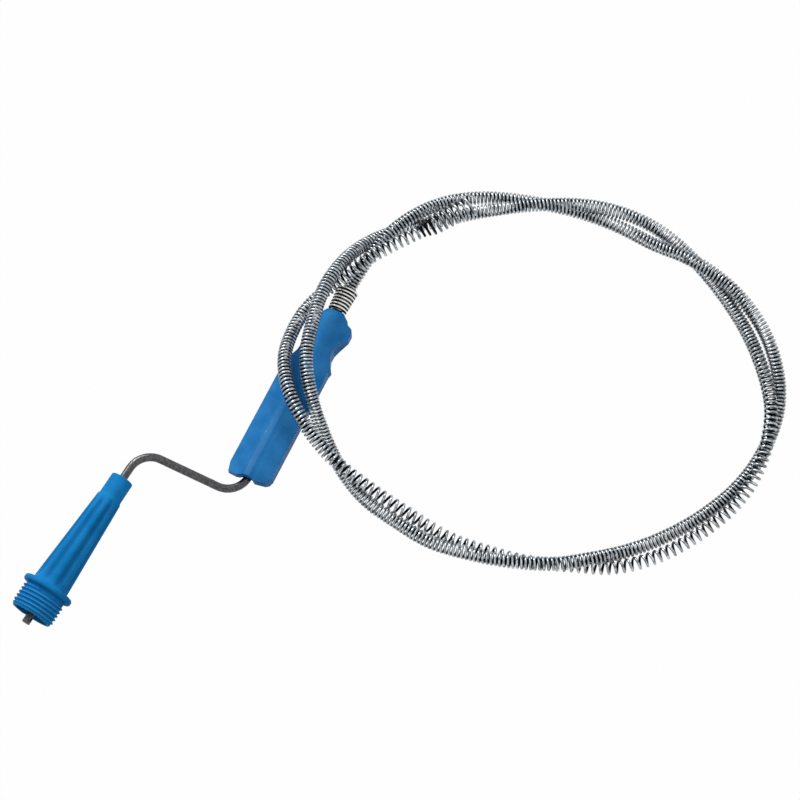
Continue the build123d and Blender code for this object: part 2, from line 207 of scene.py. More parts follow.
# %% The route and its spline
ROUTE = [
    (0, 0.052, 0.0095), (0, 0.082, 0.0095), (0.0045, 0.113, 0.013), (0.015, 0.137, 0.013),
    (0.03, 0.158, 0.007), (0.051, 0.172, 0.0045), (0.078, 0.181, 0.0045), (0.104, 0.187, 0.0045),
    (0.133, 0.189, 0.0045), (0.158, 0.185, 0.0075), (0.178, 0.184, 0.013), (0.2, 0.181, 0.0135),
    (0.225, 0.174, 0.008), (0.25, 0.156, 0.0045), (0.268, 0.127, 0.0045), (0.272, 0.097, 0.0045),
    (0.268, 0.067, 0.0045), (0.255, 0.038, 0.0045), (0.239, 0.015, 0.0045),
    (0.222, -0.003, 0.005), (0.205, -0.018, 0.011), (0.186, -0.032, 0.0135),
    (0.16, -0.042, 0.0135), (0.137, -0.047, 0.0115), (0.114, -0.05, 0.0085),
    (0.0895, -0.0455, 0.0045), (0.068, -0.042, 0.0045), (0.0455, -0.0305, 0.005),
    (0.0255, -0.015, 0.016), (0.01, 0.001, 0.0265), (-0.0005, 0.0185, 0.032),
    (-0.006, 0.04, 0.032), (-0.01, 0.061, 0.03), (-0.009, 0.082, 0.025), (-0.005, 0.103, 0.014),
    (0.006, 0.123, 0.005), (0.028, 0.142, 0.0045), (0.0505, 0.1595, 0.006), (0.07, 0.169, 0.0135),
    (0.089, 0.18, 0.0135), (0.111, 0.191, 0.0115), (0.135, 0.198, 0.007), (0.161, 0.197, 0.0045),
    (0.187, 0.187, 0.0045), (0.212, 0.173, 0.0045), (0.236, 0.155, 0.0045), (0.256, 0.131, 0.008),
    (0.267, 0.11, 0.0135), (0.273, 0.08, 0.0135), (0.27, 0.052, 0.0105), (0.258, 0.027, 0.0065),
    (0.242, 0.004, 0.0045), (0.22, -0.016, 0.0045), (0.195, -0.025, 0.0045),
    (0.171, -0.035, 0.0045), (0.147, -0.039, 0.0045), (0.124, -0.042, 0.0045),
    (0.101, -0.039, 0.0045), (0.08, -0.037, 0.0085), (0.06, -0.0345, 0.013),
    (0.0415, -0.031, 0.018), (0.023, -0.024, 0.026), (0.0035, -0.0105, 0.032),
    (-0.0105, 0.008, 0.028), (-0.0165, 0.027, 0.02), (-0.017, 0.0525, 0.015),
    (-0.005, 0.0755, 0.02), (0.0045, 0.0925, 0.024), (0.015, 0.108, 0.025),
    (0.0255, 0.1225, 0.024),
]


def smooth_line(points):
    """The places along a NURBS spline of order 3 whose control points are given."""
    curve = bpy.data.curves.new("cable_line", "CURVE")
    curve.dimensions = "3D"
    curve.resolution_u = 16
    spline = curve.splines.new("NURBS")
    spline.points.add(len(points) - 1)
    for control, place in zip(spline.points, points):
        control.co = (*place, 1)
    spline.order_u = 3
    spline.use_endpoint_u = True
    line = new_object("cable_line", curve)
    view = bpy.context.evaluated_depsgraph_get()
    drawn = bpy.data.meshes.new_from_object(line.evaluated_get(view))
    places = [vertex.co.copy() for vertex in drawn.vertices]
    bpy.data.objects.remove(line)
    bpy.data.curves.remove(curve)
    bpy.data.meshes.remove(drawn)
    return places


cable_line = smooth_line(ROUTE)

# %% [markdown]
# ## Winding a wire round a line
#
# The cable is one long spring: a wire wound round and round its line. It could be a screw
# modifier bent along a curve, but that stretches the wire at each bend. Here a loop walks along
# the line and turns an arm round it by the same angle each step. The arm's frame is carried from
# place to place with the least possible twist, so the coils never bunch up. A bevelled curve
# through the points is made into a mesh.
#
# Each vertex also remembers how far out on the coil it lies, from 0 inside to 1 on the crown.
# The finish uses it: crowns are bright, partly from rubbing and partly as a painted highlight, and
# the inner sides get painted shade.

# %% Places and directions anywhere along a line
class Walk:
    """Gives the place, direction and side arm at any distance along a line of places."""

    def __init__(self, places):
        self.places = places
        self.directions = []
        self.reached = [0.0]
        for a, b in zip(places, places[1:]):
            self.directions.append((b - a).normalized())
            self.reached.append(self.reached[-1] + (b - a).length)
        self.directions.append(self.directions[-1].copy())
        arm = self.directions[0].orthogonal().normalized()
        self.arms = [arm]
        for before, after in zip(self.directions, self.directions[1:]):
            arm = before.rotation_difference(after) @ arm
            arm = (arm - after * arm.dot(after)).normalized()
            self.arms.append(arm)
        self.index = 0

    def at(self, distance):
        """Place, direction and arm at a distance. Distances are asked for in rising order."""
        while self.index < len(self.places) - 2 and self.reached[self.index + 1] < distance:
            self.index += 1
        i = self.index
        run = self.reached[i + 1] - self.reached[i]
        part = (distance - self.reached[i]) / run
        place = self.places[i].lerp(self.places[i + 1], part)
        direction = self.directions[i].lerp(self.directions[i + 1], part).normalized()
        arm = self.arms[i].lerp(self.arms[i + 1], part)
        arm = (arm - direction * arm.dot(direction)).normalized()
        return place, direction, arm


# %% The wire that is wound round a line
SEGMENTS = 16  # straight bits in one turn of wire
WIRE_ROUNDNESS = 2  # the bevel's setting, 8 sides


def wind(places, pitch, reach, angle=0.0, lean=0.0):
    """Points of a right-handed wire round a line, the line's places beside them, and the last angle.
    pitch and reach are functions of the distance along the line. lean tips each turn forwards."""
    walk = Walk(places)
    wire_points = []
    middles = []
    distance = 0.0
    while distance < walk.reached[-1]:
        place, direction, arm = walk.at(distance)
        other = direction.cross(arm)
        out = reach(distance)
        offset = (arm * math.cos(angle) + other * math.sin(angle)) * out
        tip = direction * (lean * out * -offset.normalized().z)
        wire_points.append(place + offset + tip)
        middles.append(place)
        angle += math.tau / SEGMENTS
        distance += pitch(distance) / SEGMENTS
    return wire_points, middles, angle


def wire_mesh(name, points, thickness):
    """A round wire through points, as a mesh with closed ends."""
    curve = bpy.data.curves.new(name, "CURVE")
    curve.dimensions = "3D"
    curve.bevel_depth = thickness / 2
    curve.bevel_resolution = WIRE_ROUNDNESS
    curve.use_fill_caps = True
    spline = curve.splines.new("POLY")
    spline.points.add(len(points) - 1)
    for control, place in zip(spline.points, points):
        control.co = (*place, 1)
    piece = new_object(name, curve)
    view = bpy.context.evaluated_depsgraph_get()
    mesh = bpy.data.meshes.new_from_object(piece.evaluated_get(view))
    bpy.data.objects.remove(piece)
    bpy.data.curves.remove(curve)
    mesh.name = name
    mesh.polygons.foreach_set("use_smooth", [True] * len(mesh.polygons))
    return mesh


def mark_crowns(mesh, middles, inner, thickness):
    """Gives each vertex of a wound wire its height on the coil, 0 inside and 1 outside."""
    ring = len(mesh.vertices) / len(middles)
    crown = mesh.attributes.new("crown", "FLOAT", "POINT")
    for i, vertex in enumerate(mesh.vertices):
        middle = middles[min(int(i / ring), len(middles) - 1)]
        height = ((vertex.co - middle).length - inner) / thickness
        crown.data[i].value = min(max(height, 0), 1)


# %% The cable's coil
CABLE_RADIUS = 4.35 * MM
WIRE = 1.6 * MM
UNEVEN = 0.02  # how far the pitch strays, as a share for each millimetre of it
UNEVEN_SCALE = 60  # how fast it strays, in waves for a metre of cable
# How far apart the turns lie, in millimetres, at distances along the cable in metres. The coil
# is close over its first two thirds, and pulled open along two stretches of the rest.
PITCHES = [
    (0, 2.38), (0.48, 2.4), (0.56, 2.6), (0.66, 2.45), (0.72, 2.1), (0.82, 2.1), (0.87, 2.35),
    (1.12, 2.38), (1.17, 2.2), (1.2, 3.1), (1.25, 4), (1.35, 4.45), (1.54, 4.4), (1.56, 2.6),
    (1.6, 2.35), (1.675, 2.45), (1.7, 3.9), (1.8, 4.3),
]


def cable_pitch(distance):
    """The turns' pitch at a distance, with the small unevenness of a used spring."""
    for (near, low), (far, high) in zip(PITCHES, PITCHES[1:]):
        if distance <= far:
            even = low + (high - low) * (distance - near) / (far - near)
            break
    wander = noise.noise(Vector((distance * UNEVEN_SCALE, 0, 0)))
    return even * (1 + UNEVEN * even * wander) * MM


def cable_reach(distance):
    return CABLE_RADIUS - WIRE / 2


coil_points, coil_middles, last_angle = wind(cable_line, cable_pitch, cable_reach)
coil_mesh = wire_mesh("cable_coil", coil_points, WIRE)
mark_crowns(coil_mesh, coil_middles, CABLE_RADIUS - WIRE, WIRE)
cable_coil = new_object("cable_coil", coil_mesh)
print("cable coil:", round(last_angle / math.tau), "turns,", len(coil_mesh.polygons), "faces")

# %% [markdown]
# ## The corkscrew tip
#
# At its end the same wire opens out into a wider spring that bites into a clog. It is wound in
# the same way round a straight line, with an arm that grows, and its cut end stands proud.

# %% The tip's coil
TIP_DIRECTION = Vector((0.55, 0.834, -0.04)).normalized()
TIP_LENGTH = 41 * MM
TIP_RADIUS = 7.2 * MM
TIP_FLARE = 12 * MM  # the run over which it grows from the cable's width
TIP_WAIST = 0.93  # the first turns' width, as a share of the last ones'
TIP_CUT = 1.5 * MM  # the wire's end stops this much short
TIP_LEAN = 0.12
TIP_CROWN = 1.6 * WIRE  # the band inside its widest turns where the wire brightens, partly from rubbing and partly as a painted highlight; below it the wire gets painted shade
TIP_STEPS = 40


def ease(value, low, high):
    """0 below low, 1 above high, and a smooth rise between."""
    part = min(max((value - low) / (high - low), 0), 1)
    return part * part * (3 - 2 * part)


def tip_pitch(distance):
    return (3 + min(distance / TIP_FLARE, 1)) * MM


def tip_reach(distance):
    widest = TIP_WAIST + (1 - TIP_WAIST) * min(max((distance - 22 * MM) / (12 * MM), 0), 1)
    spread_out = (TIP_RADIUS * widest - CABLE_RADIUS) * ease(distance, 0, TIP_FLARE)
    return CABLE_RADIUS + spread_out - WIRE / 2


tip_line = [
    cable_line[-1] + TIP_DIRECTION * (TIP_LENGTH - TIP_CUT) * i / TIP_STEPS
    for i in range(TIP_STEPS + 1)
]
tip_points, tip_middles, _ = wind(tip_line, tip_pitch, tip_reach, last_angle, TIP_LEAN)
tip_mesh = wire_mesh("tip_coil", tip_points, WIRE)
mark_crowns(tip_mesh, tip_middles, TIP_RADIUS - TIP_CROWN, TIP_CROWN)
tip_coil = new_object("tip_coil", tip_mesh)
print("tip coil:", len(tip_mesh.polygons), "faces")

# %% [markdown]
# ## Effects that several finishes share
#
# A real surface is never one colour. Moulded plastic has faint clouds where the melt flowed, a
# fine skin, and white marks where it has been knocked. Steel has darker and brighter patches.
# Each of these is a node group with its own inputs, made once and used by every finish that
# shows it. Object coordinates are in metres and pieces sit at the origin, so a scale of 100
# means clouds of about a centimetre.

# %% A helper that makes an empty node group
def new_group(name, inputs, outputs):
    """An empty shader node group. inputs gives each number's name and default."""
    tree = bpy.data.node_groups.new(name, "ShaderNodeTree")
    for label, value in inputs.items():
        socket = tree.interface.new_socket(label, in_out="INPUT", socket_type="NodeSocketFloat")
        socket.default_value = value
    for label in outputs:
        tree.interface.new_socket(label, in_out="OUTPUT", socket_type="NodeSocketFloat")
    return tree, add_node(tree, "NodeGroupInput"), add_node(tree, "NodeGroupOutput")


def join(tree, *pairs):
    """Links output and input sockets, given as pairs."""
    for start, end in pairs:
        tree.links.new(start, end)


def noise_node(tree, scale, detail=3.0, roughness=0.55):
    """A noise texture. scale is a number, or a socket that gives one."""
    texture = add_node(tree, "ShaderNodeTexNoise")
    texture.inputs["Detail"].default_value = detail
    texture.inputs["Roughness"].default_value = roughness
    if isinstance(scale, (int, float)):
        texture.inputs["Scale"].default_value = scale
    else:
        tree.links.new(scale, texture.inputs["Scale"])
    return texture


def spread(tree, value, low, high):
    """Stretches a value between low and high to the full range from 0 to 1."""
    ranged = add_node(tree, "ShaderNodeMapRange", interpolation_type="SMOOTHSTEP")
    for name, limit in (("From Min", low), ("From Max", high)):
        if isinstance(limit, (int, float)):
            ranged.inputs[name].default_value = limit
        else:
            tree.links.new(limit, ranged.inputs[name])
    tree.links.new(value, ranged.inputs["Value"])
    return ranged.outputs["Result"]


# %% Clouds and skin
clouds, clouds_in, clouds_out = new_group(
    "clouds_and_skin", {"Cloud Scale": 60, "Skin Scale": 1200}, ["Cloud", "Skin"]
)
place = add_node(clouds, "ShaderNodeTexCoord")
cloud = noise_node(clouds, clouds_in.outputs["Cloud Scale"], 4)
skin = noise_node(clouds, clouds_in.outputs["Skin Scale"], 2)
join(
    clouds,
    (place.outputs["Object"], cloud.inputs["Vector"]),
    (place.outputs["Object"], skin.inputs["Vector"]),
    (spread(clouds, cloud.outputs["Fac"], 0.3, 0.7), clouds_out.inputs["Cloud"]),
    (skin.outputs["Fac"], clouds_out.inputs["Skin"]),
)

# %% Knocks and scratches
scuffs, scuffs_in, scuffs_out = new_group(
    "knocks_and_scratches", {"Scale": 150, "Threshold": 0.66, "Softness": 0.03}, ["Mark"]
)
place = add_node(scuffs, "ShaderNodeTexCoord")
turned = add_node(scuffs, "ShaderNodeMapping")
turned.inputs["Rotation"].default_value = (0.5, 0.3, 0.6)
turned.inputs["Scale"].default_value = (1.0, 0.3, 1.0)
mark = noise_node(scuffs, scuffs_in.outputs["Scale"], 5, 0.6)
upper = add_node(scuffs, "ShaderNodeMath", operation="ADD")
join(
    scuffs,
    (place.outputs["Object"], turned.inputs["Vector"]),
    (turned.outputs["Vector"], mark.inputs["Vector"]),
    (scuffs_in.outputs["Threshold"], upper.inputs[0]),
    (scuffs_in.outputs["Softness"], upper.inputs[1]),
    (
        spread(scuffs, mark.outputs["Fac"], scuffs_in.outputs["Threshold"], upper.outputs[0]),
        scuffs_out.inputs["Mark"],
    ),
)

# %% Small helpers for finishes
def paint(red, green, blue):
    """A colour as a screen shows it, from 0 to 255, turned into Blender's linear values."""
    def linear(value):
        value /= 255
        return value / 12.92 if value <= 0.04045 else ((value + 0.055) / 1.055) ** 2.4

    return (linear(red), linear(green), linear(blue), 1)


def use_group(tree, group, **values):
    """Places a node group in a material with its own numbers."""
    node = add_node(tree, "ShaderNodeGroup", node_tree=group)
    for label, value in values.items():
        node.inputs[label.replace("_", " ")].default_value = value
    return node


def blend_colours(tree, factor, first, second):
    """Mixes two colours by a factor socket. Each colour is a fixed one or a socket."""
    mix = add_node(tree, "ShaderNodeMix", data_type="RGBA")
    tree.links.new(factor, mix.inputs["Factor"])
    for socket, colour in ((mix.inputs[6], first), (mix.inputs[7], second)):
        if isinstance(colour, tuple):
            socket.default_value = colour
        else:
            tree.links.new(colour, socket)
    return mix.outputs[2]


def scale_value(tree, value, low, high):
    """Turns a value from 0 to 1 into one from low to high."""
    ranged = add_node(tree, "ShaderNodeMapRange")
    ranged.inputs["To Min"].default_value = low
    ranged.inputs["To Max"].default_value = high
    tree.links.new(value, ranged.inputs["Value"])
    return ranged.outputs["Result"]


def bump(tree, height, distance, strength=1.0):
    """A bump node for a height socket. distance is the height's real size in metres."""
    node = add_node(tree, "ShaderNodeBump")
    node.inputs["Distance"].default_value = distance
    node.inputs["Strength"].default_value = strength
    tree.links.new(height, node.inputs["Height"])
    return node.outputs["Normal"]


def new_finish(name):
    """A material with an empty Principled shader."""
    finish = bpy.data.materials.new(name)
    finish.use_nodes = True
    return finish, finish.node_tree, finish.node_tree.nodes["Principled BSDF"]


print("effects:", [group.name for group in (clouds, scuffs)])


# %% [markdown]
# ## Moulded plastic
#
# The grip and the handle are cheap injection-moulded polythene: a strong blue, faintly cloudy,
# with a dull skin that scatters the lamps, and pale marks where it has been knocked. Two
# attributes of the mesh help where a piece has them. Where crown is high, a highlight is painted
# on raised edges, and where hollow is high, shade is painted into the valleys.

# %% The plastics
PLASTIC_SHINE = 0.02  # low, so that walls seen at a slant keep their blue
HIGHLIGHT_MOST = 0.45  # how far a fully raised edge goes towards the colour of the marks, as a painted highlight
VALLEY_SHADE_MOST = 0.48  # how far the bottom of a valley goes towards the painted shade's colour
VALLEY_SHADE_TONE = 0.45  # the painted shade's colour, as a share of the deep one
BLUE_SHEEN = (0.3, 0.6, 1, 1)  # the polythene is a little clear, so its shine is bluish


def plastic(name, deep, light, marks, gloss, threshold, sheen=(1, 1, 1, 1), cloud_scale=70):
    """Moulded plastic between two tones, with pale marks, a painted highlight on raised edges and
    painted shade in hollows.
    """
    finish, tree, shader = new_finish(name)
    shader.inputs["Specular IOR Level"].default_value = PLASTIC_SHINE
    shader.inputs["Specular Tint"].default_value = sheen
    body = use_group(tree, clouds, Cloud_Scale=cloud_scale, Skin_Scale=1500)
    knocks = use_group(tree, scuffs, Scale=210, Threshold=threshold, Softness=0.03)
    colour = blend_colours(tree, body.outputs["Cloud"], deep, light)
    colour = blend_colours(tree, knocks.outputs["Mark"], colour, marks)
    # painted highlight: the crown attribute pales raised edges towards the colour of the marks
    raised = add_node(tree, "ShaderNodeAttribute", attribute_name="crown")
    painted_highlight = scale_value(tree, raised.outputs["Fac"], 0, HIGHLIGHT_MOST)
    colour = blend_colours(tree, painted_highlight, colour, marks)
    # painted shade: the hollow attribute darkens the bottoms of the valleys
    sunk = add_node(tree, "ShaderNodeAttribute", attribute_name="hollow")
    shaded = scale_value(tree, sunk.outputs["Fac"], 0, VALLEY_SHADE_MOST)
    colour = blend_colours(tree, shaded, colour, tuple(VALLEY_SHADE_TONE * part for part in deep))
    join(
        tree,
        (colour, shader.inputs["Base Color"]),
        (scale_value(tree, body.outputs["Cloud"], *gloss), shader.inputs["Roughness"]),
        (bump(tree, body.outputs["Skin"], 0.06 * MM, 0.5), shader.inputs["Normal"]),
    )
    return finish


grip_blue = plastic(
    "grip_blue", paint(36, 114, 180), paint(52, 132, 198), paint(190, 220, 238), (0.5, 0.36), 0.68,
    BLUE_SHEEN,
)
handle_blue = plastic(
    "handle_blue", paint(22, 120, 188), paint(34, 136, 204), paint(80, 180, 226), (0.58, 0.48), 0.74,
    BLUE_SHEEN,
)
pale_acetal = plastic(
    "pale_acetal", paint(214, 212, 202), paint(232, 230, 222), paint(200, 198, 190), (0.5, 0.4), 0.72
)
print("plastics:", grip_blue.name, handle_blue.name, pale_acetal.name)

# %% [markdown]
# ## Steel
#
# All the steel here is the same effect with other numbers: a dark tone where scale is left, a
# bright one where the surface is worn, and a gloss that changes with it. On a wound wire the
# bright tone is kept to the crowns of the turns, partly from rubbing and partly as a painted
# highlight, and the inner sides of the turns get painted shade. The black wire of the relief
# spring gets a painted white highlight in a thin line along each turn.

# %% The steels
def steel(
    name, dark, bright, gloss, cloud_scale, threshold,
    crown_highlight_and_wear=None, metallic=1.0, patchy=0.25, shine=0.5,
):
    """Steel between a dark and a bright tone. The crown band gives the heights on a coil between
    which it brightens, a painted highlight that on the cable also stands for rubbing, while below it
    the cable's inner sides get painted shade; patchy is the tone of its dullest patch, and shine is
    the skin's own reflection."""
    finish, tree, shader = new_finish(name)
    shader.inputs["Specular IOR Level"].default_value = shine
    body = use_group(tree, clouds, Cloud_Scale=cloud_scale, Skin_Scale=2400)
    knocks = use_group(tree, scuffs, Scale=400, Threshold=threshold, Softness=0.1)
    tone = scale_value(tree, body.outputs["Cloud"], patchy, 1)
    # below the crown band a coil stays dark, which is painted shade on the cable; in and above it is
    # a painted highlight
    if crown_highlight_and_wear:
        height = add_node(tree, "ShaderNodeAttribute", attribute_name="crown")
        lifted = add_node(tree, "ShaderNodeMath", operation="MULTIPLY")
        join(
            tree,
            (spread(tree, height.outputs["Fac"], *crown_highlight_and_wear), lifted.inputs[0]),
            (tone, lifted.inputs[1]),
        )
        tone = lifted.outputs[0]
    colour = blend_colours(tree, tone, dark, bright)
    colour = blend_colours(tree, knocks.outputs["Mark"], colour, bright)
    shader.inputs["Metallic"].default_value = metallic
    join(
        tree,
        (colour, shader.inputs["Base Color"]),
        (scale_value(tree, body.outputs["Cloud"], *gloss), shader.inputs["Roughness"]),
        (bump(tree, body.outputs["Skin"], 0.03 * MM, 0.4), shader.inputs["Normal"]),
    )
    return finish


# cable wire: bright crowns, partly from rubbing and partly a painted highlight, and painted shade on
# the inner sides of the turns
spring_wire = steel(
    "spring_wire", paint(12, 14, 18), paint(194, 203, 210), (0.34, 0.2), 500, 0.7,
    crown_highlight_and_wear=(0.56, 0.94),
)
# black relief wire: a painted white highlight along the crown of each turn
black_wire = steel(
    "black_wire", paint(4, 4, 5), paint(250, 248, 242), (0.5, 0.4), 400, 0.9,
    crown_highlight_and_wear=(0.85, 0.95), metallic=0.75, patchy=0.9, shine=0.1,
)
rod_steel = steel("rod_steel", paint(46, 46, 48), paint(96, 96, 98), (0.36, 0.24), 700, 0.7)
zinc_steel = steel("zinc_steel", paint(150, 154, 158), paint(196, 200, 204), (0.4, 0.3), 120, 0.7)
black_steel = steel("black_steel", paint(24, 24, 26), paint(60, 60, 62), (0.5, 0.38), 200, 0.7)

# %% Finishes for the CAD's own parts
FINISHES = {
    "blue_plastic": grip_blue,
    "pale_plastic": pale_acetal,
    "zinc_steel": zinc_steel,
    "black_steel": black_steel,
    "plain_steel": rod_steel,
    "spring_wire": spring_wire,
}
SLOTS = {
    "blue_plastic": ["grip_lower_shell", "grip_upper_shell", "crank_handle"],
    "pale_plastic": ["lower_bush", "upper_bush"],
    "zinc_steel": [
        "lower_thrust_washer", "upper_thrust_washer", "thrust_collar", "collar_pin",
        "coupling_sleeve", "end_washer", "retaining_ring",
    ],
    "black_steel": ["sleeve_screw_1", "sleeve_screw_2", "relief_spring"],
    "plain_steel": ["crank_rod"],
    "spring_wire": ["cable", "auger_tip"],
}
for slot_name, node_names in SLOTS.items():
    for node_name in node_names:
        for material_slot in frame["nodes"][node_name].material_slots:
            material_slot.material = FINISHES[slot_name]
print("finishes:", len(FINISHES))

# %% [markdown]
# ## The rod and the relief spring
#
# The rod already has its true shape in the CAD, but as loose flat triangles. A copy has its
# doubles merged, and faces that meet at a small angle are shaded as one round surface. The
# relief spring is wound like the cable instead, along a straight line, with an arm that grows.

# %% A merged copy of a CAD part
def merged(node_name, flatness=0.5):
    """A bmesh with a CAD part's shape as one skin. Faces that meet at less than flatness, in
    degrees, become one."""
    work = bmesh.new()
    work.from_mesh(frame["nodes"][node_name].data)
    bmesh.ops.remove_doubles(work, verts=work.verts, dist=0.001 * MM)
    bmesh.ops.dissolve_limit(
        work, angle_limit=math.radians(flatness), verts=work.verts, edges=work.edges
    )
    return work


def smooth_piece(work, name, finish, sharp=35):
    """An object from a bmesh, with soft shading except at edges sharper than that angle."""
    mesh = mesh_from(work, name)
    mesh.polygons.foreach_set("use_smooth", [True] * len(mesh.polygons))
    mesh.set_sharp_from_angle(angle=math.radians(sharp))
    mesh.materials.append(finish)
    return new_object(name, mesh)


rod = smooth_piece(merged("crank_rod", 0.05), "bent_rod", rod_steel)
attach(rod, "crank")
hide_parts("crank_rod")
print("rod faces:", len(rod.data.polygons))

# %% The relief spring
RELIEF_WIRE = 1.8 * MM
RELIEF_PITCH = 2.2 * MM
RELIEF_REACH = 5.15 * MM  # from the barrel's line to the middle of the first turn's wire
RELIEF_FLARE = math.tan(math.radians(3.6))
relief_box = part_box("relief_spring")
relief_start = relief_box[0].y + RELIEF_WIRE / 2
relief_steps = [
    Vector((0, relief_start + i * MM, BARREL))
    for i in range(int((relief_box[1].y - relief_start) / MM))
]


def relief_reach(distance):
    return RELIEF_REACH + distance * RELIEF_FLARE


relief_points, *_ = wind(relief_steps, lambda distance: RELIEF_PITCH, relief_reach)
relief_mesh = wire_mesh("relief_coil", relief_points, RELIEF_WIRE)
# crown: how far out on its turn each vertex lies, which places black_wire's painted highlight
crown = relief_mesh.attributes.new("crown", "FLOAT", "POINT")
for vertex in relief_mesh.vertices:
    out = math.hypot(vertex.co.x, vertex.co.z - BARREL)
    height = (out - relief_reach(vertex.co.y - relief_start)) / RELIEF_WIRE + 0.5
    crown.data[vertex.index].value = min(max(height, 0), 1)
relief_mesh.materials.append(black_wire)
relief = new_object("relief_coil", relief_mesh)
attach(relief, "grip")
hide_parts("relief_spring")
print("relief faces:", len(relief.data.polygons))

# %% [markdown]
# ## The grip's two halves
#
# The grip is moulded in two halves that meet at the height of the cable. Their shape comes from
# the CAD, which leaves every edge sharp. A mould never does: here a merged copy gets its ridge
# and rims bevelled, and its upper end is drawn down into a soft dome. The dome could be sculpted
# on a finer mesh, but cuts across the copy are enough, and keep the exact sizes everywhere else.
# A paler band along the ridge is a painted highlight, which fades out under the cable.

# %% Rounding chosen edges
def round_edges(work, chosen, offset, segments):
    """Bevels the edges for which chosen(edge) is true."""
    edges = [edge for edge in work.edges if len(edge.link_faces) == 2 and chosen(edge)]
    bmesh.ops.bevel(
        work, geom=edges, affect="EDGES", offset=offset, offset_type="OFFSET",
        segments=segments, profile=0.5, material=-1, clamp_overlap=True,
    )


GRIP_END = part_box("grip_upper_shell")[1].y
BORE_CLEAR = 6.7 * MM  # everything hollow in the grip is nearer than this to the barrel's line
RIDGE_BEVEL = 2.4 * MM
RIM_BEVEL = 0.45 * MM
NEARLY = 0.05 * MM  # as far as a corner may lie beside the ridge's own line


def clear_of_bore(vertex):
    """True for a place on the grip's outside, away from everything hollow in it."""
    return math.hypot(vertex.co.x, vertex.co.z - BARREL) > BORE_CLEAR


def rim(edge):
    """True for an outside edge between a facet that looks up or down and a wall, but not for
    one on the seam between the halves."""
    if not all(clear_of_bore(vertex) for vertex in edge.verts):
        return False
    if all(abs(vertex.co.z - BARREL) < 0.01 * MM for vertex in edge.verts):
        return False
    lean = sorted(abs(face.normal.z) for face in edge.link_faces)
    return lean[0] < 0.3 and lean[1] > 0.6


def ridge(edge):
    """True for the crease along the grip's top."""
    return all(
        abs(vertex.co.x) < NEARLY and vertex.co.z > 18.5 * MM for vertex in edge.verts
    )


# %% The upper half, with its dome
def cut_across(work, places, axis):
    """Cuts a mesh with planes square to an axis, so that it can be bent there."""
    for place in places:
        bmesh.ops.bisect_plane(
            work,
            geom=work.verts[:] + work.edges[:] + work.faces[:],
            plane_co=axis * place,
            plane_no=axis,
            dist=0.001 * MM,
        )


DOME_RISE = 8.9 * MM  # over the barrel's line
DOME_REACH = 17 * MM  # half its width, at the barrel's height
DOME_DROP = 3.3 * MM  # how much lower it ends
DOME_FOOT = 13 * MM  # what is lower than this stays where it is
DOME_START, DOME_FULL = 20 * MM, 46 * MM  # where the facets begin to turn round, and are round
DROP_START = 42 * MM


def dome(vertex):
    """Draws the grip's upper end down and round, but leaves its bore alone."""
    if vertex.co.z < DOME_FOOT or not clear_of_bore(vertex):
        return
    share = ease(vertex.co.y, DOME_START, DOME_FULL)
    drop = DOME_DROP * ease(vertex.co.y, DROP_START, GRIP_END) ** 2
    across = min(abs(vertex.co.x) / DOME_REACH, 0.99)
    soft = BARREL + (DOME_RISE - drop) * math.sqrt(1 - across * across)
    vertex.co.z += (soft - vertex.co.z) * share


RIDGE_HIGHLIGHT = 0.14  # how far the ridge's painted highlight is up the scale of the crown attribute
HIGHLIGHT_SIDE = 0.5 * MM  # the painted highlight lies a little to the left of the ridge
HIGHLIGHT_REACH = 1.6 * MM  # to each side
HIGHLIGHT_END = 30 * MM

upper = merged("grip_upper_shell")
round_edges(upper, ridge, RIDGE_BEVEL, 4)
round_edges(upper, rim, RIM_BEVEL, 3)
cut_across(upper, [DOME_START + 2.3 * MM * i for i in range(16)], Vector((0, 1, 0)))
cut_across(upper, [i * 2 * MM for i in range(-7, 8) if i], Vector((1, 0, 0)))
crown = upper.verts.layers.float.new("crown")
for vertex in upper.verts:
    # a painted highlight along the ridge, which fades out along the grip
    if abs(vertex.co.x + HIGHLIGHT_SIDE) < HIGHLIGHT_REACH and vertex.co.z > 17.5 * MM:
        vertex[crown] = RIDGE_HIGHLIGHT * (1 - ease(vertex.co.y, 0, HIGHLIGHT_END))
    dome(vertex)
bmesh.ops.recalc_face_normals(upper, faces=upper.faces)
grip_top = smooth_piece(upper, "grip_top_half", grip_blue, 28)
print("upper half:", len(grip_top.data.polygons), "faces")

# %% The lower half
lower = merged("grip_lower_shell")
round_edges(lower, rim, RIM_BEVEL, 3)
bmesh.ops.recalc_face_normals(lower, faces=lower.faces)
grip_base = smooth_piece(lower, "grip_bottom_half", grip_blue, 28)
for half, node_name in ((grip_top, "grip_upper_shell"), (grip_base, "grip_lower_shell")):
    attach(half, "grip")
    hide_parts(node_name)
print("lower half:", len(grip_base.data.polygons), "faces")

# %% [markdown]
# ## The crank's handle
#
# The handle is a hollow turned shape: a short neck, a taper with eight shallow valleys that
# fingers find, a flange, and a threaded collar with an open end. A profile is drawn once, as a
# closed line of radius and distance, and spun round the handle's own line. Then the valleys are
# pressed into the taper by moving its points inwards.

# %% The handle's line
handle_turn = next(joint for joint in frame["joints"] if joint["name"] == "handle_turn")
corner = Vector(handle_turn["pos_m"])
handle_line = Vector(handle_turn["axis"]).normalized()
upright = (Vector((0, 0, 1)) - handle_line * handle_line.z).normalized()
sideways = handle_line.cross(upright)
to_place = Matrix.Translation(corner) @ Matrix((upright, sideways, handle_line)).transposed().to_4x4()
print("handle points along", [round(value, 3) for value in handle_line])

# %% The profile, as radius and distance from the crank's corner in millimetres
TAPER_START, TAPER_END = 36.0, 97.0
TAPER_NARROW, TAPER_WIDE = 7.75, 11.2
TAPER_ROWS = 14


